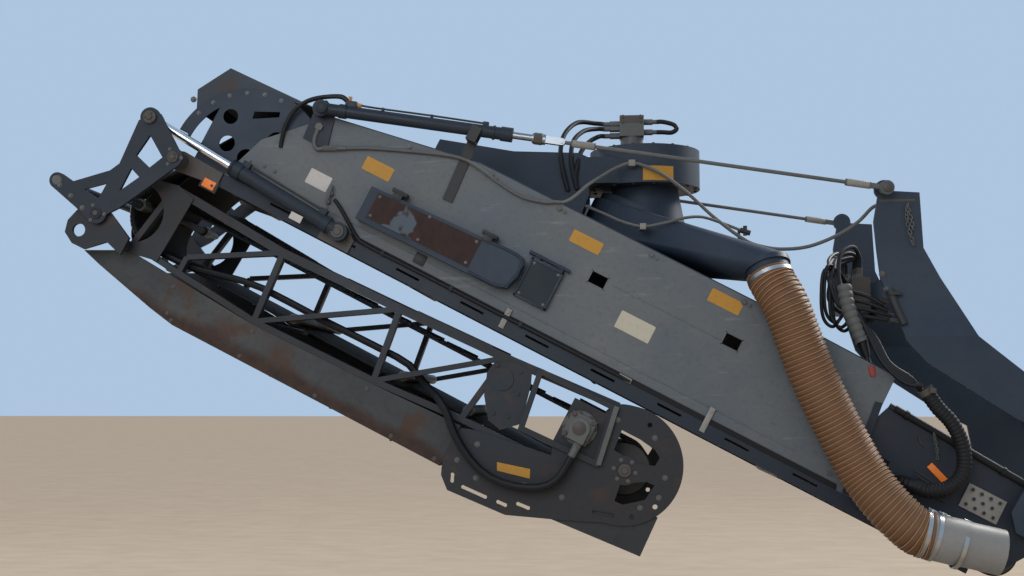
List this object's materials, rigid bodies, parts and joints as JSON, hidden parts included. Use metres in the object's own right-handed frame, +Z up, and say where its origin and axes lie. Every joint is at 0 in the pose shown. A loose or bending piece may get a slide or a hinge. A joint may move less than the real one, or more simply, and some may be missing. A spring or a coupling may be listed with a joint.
{
  "type": "folding discharge conveyor",
  "caption": "Folding belt discharge conveyor of a cold planer, folded for transport on its slewing console, with hood, dust fan and extraction hose.",
  "frame": {"origin": "centre of the console's lower slew bore", "axes": "+Z up along the slew axis; the conveyor reaches towards -X; +Y is the far side of the picture"},
  "size_m": [6.1036, 1.9429, 2.9532],
  "materials": {
    "bare_steel": "bare worn steel",
    "belt_rubber": "matt black rubber",
    "box_rust": "rust-brown primed sheet",
    "chrome_rod": "polished hard chrome",
    "console_paint": "satin dark blue-grey paint",
    "cover_paint": "worn dark grey paint with rust",
    "cylinder_paint": "satin dark paint",
    "duct_paint": "satin dark blue-grey paint",
    "extraction_hose": "copper-brown ribbed hose",
    "frame_paint": "satin dark blue-grey paint, dusty",
    "hatch_paint": "dark blue-black sheet",
    "hood_paint": "satin mid-grey paint, dusty and scuffed",
    "hose_rubber": "matt black rubber",
    "zinc": "dull galvanised steel"
  },
  "bodies": {
    "console": {"console_arm_near": "console_paint", "console_arm_far": "console_paint", "console_cross_members": "console_paint", "valve_block": "bare_steel", "console_hoses": "hose_rubber"},
    "boom": {"boom_frame": "frame_paint", "tail_plates": "frame_paint", "tail_drum": "bare_steel", "boom_belt": "belt_rubber", "carrying_idlers": "bare_steel", "return_idlers": "bare_steel", "hood_wall_near": "hood_paint", "hood_wall_far": "hood_paint", "hood_roof": "duct_paint", "elbow_plates": "duct_paint", "visor": "cover_paint", "side_box": "box_rust", "access_hatch": "hatch_paint", "duct_upper": "duct_paint", "duct_lower": "duct_paint", "fan_housing": "duct_paint", "fan_motor": "zinc", "extraction_hose": "extraction_hose", "hose_pipe": "zinc", "luff_brackets": "frame_paint", "rest_brackets": "frame_paint", "boom_pins": "bare_steel", "belt_bend_upper": "belt_rubber", "elbow_hoses_upper": "hose_rubber", "fan_hoses": "hose_rubber", "tail_sleeve": "hose_rubber"},
    "luff_cylinders": {"luff_barrels": "cylinder_paint"},
    "luff_rods": {"luff_rods": "chrome_rod"},
    "stay_ropes": {"luff_ropes": "zinc"},
    "fold_cylinders": {"fold_barrels": "cylinder_paint"},
    "fold_rods": {"fold_rods": "chrome_rod"},
    "cranks": {"fold_cranks": "frame_paint", "belt_bend_lower": "belt_rubber", "elbow_hoses_lower": "hose_rubber"},
    "section": {"section_truss": "frame_paint", "section_end_plates": "frame_paint", "section_cover": "cover_paint", "section_belt": "belt_rubber", "section_idlers": "bare_steel", "head_plates": "frame_paint", "head_drum": "bare_steel", "drive_motor": "zinc", "motor_carrier": "frame_paint", "deflector": "cover_paint", "drive_hoses": "hose_rubber"}
  },
  "joints": [
    {"name": "luff", "type": "hinge", "parent": "console", "child": "boom", "pos_m": [-0.44, 0, 0.25], "axis": [0, 1, 0], "range_deg": [-15, 2], "deforming": ["tail_sleeve"]},
    {"name": "luff_cylinder_pivot", "type": "hinge", "parent": "boom", "child": "luff_cylinders", "pos_m": [-4.40481, 0, 2.5958], "axis": [0, 1, 0], "range_deg": [-3.77, 0.76]},
    {"name": "luff_stroke", "type": "slide", "parent": "luff_cylinders", "child": "luff_rods", "axis": [0.9879, 0, -0.155], "range_m": [-0.0675, 0.4805]},
    {"name": "stay_pivot", "type": "hinge", "parent": "console", "child": "stay_ropes", "pos_m": [-1.2, 0, 2.093], "axis": [0, 1, 0], "range_deg": [-18.77, 2.76]},
    {"name": "fold", "type": "hinge", "parent": "boom", "child": "cranks", "pos_m": [-5.25358, 0, 2.30371], "axis": [0, 1, 0], "range_deg": [0, 100], "deforming": ["belt_bend_upper", "elbow_hoses_upper"]},
    {"name": "knuckle", "type": "hinge", "parent": "cranks", "child": "section", "pos_m": [-5.70028, 0, 1.9827], "axis": [0, 1, 0], "range_deg": [0, 80.3], "deforming": ["belt_bend_lower", "elbow_hoses_lower"]},
    {"name": "fold_cylinder_pivot", "type": "hinge", "parent": "boom", "child": "fold_cylinders", "pos_m": [-4.30169, 0, 1.87132], "axis": [0, 1, 0], "range_deg": [-0.3, 10.57]},
    {"name": "fold_stroke", "type": "slide", "parent": "fold_cylinders", "child": "fold_rods", "axis": [-0.8532, 0, 0.5216], "range_m": [-0.3896, 0.004]}
  ],
  "couplings": [
    {"joint": "luff_cylinder_pivot", "follows": "luff", "ratio": 0.2315},
    {"joint": "luff_stroke", "follows": "luff", "m_per_rad": -1.82},
    {"joint": "stay_pivot", "follows": "luff", "ratio": 1.2315},
    {"joint": "knuckle", "follows": "fold", "ratio": 0.8},
    {"joint": "fold_cylinder_pivot", "follows": "fold", "ratio": 0.1027},
    {"joint": "fold_stroke", "follows": "fold", "m_per_rad": -0.22093}
  ]
}
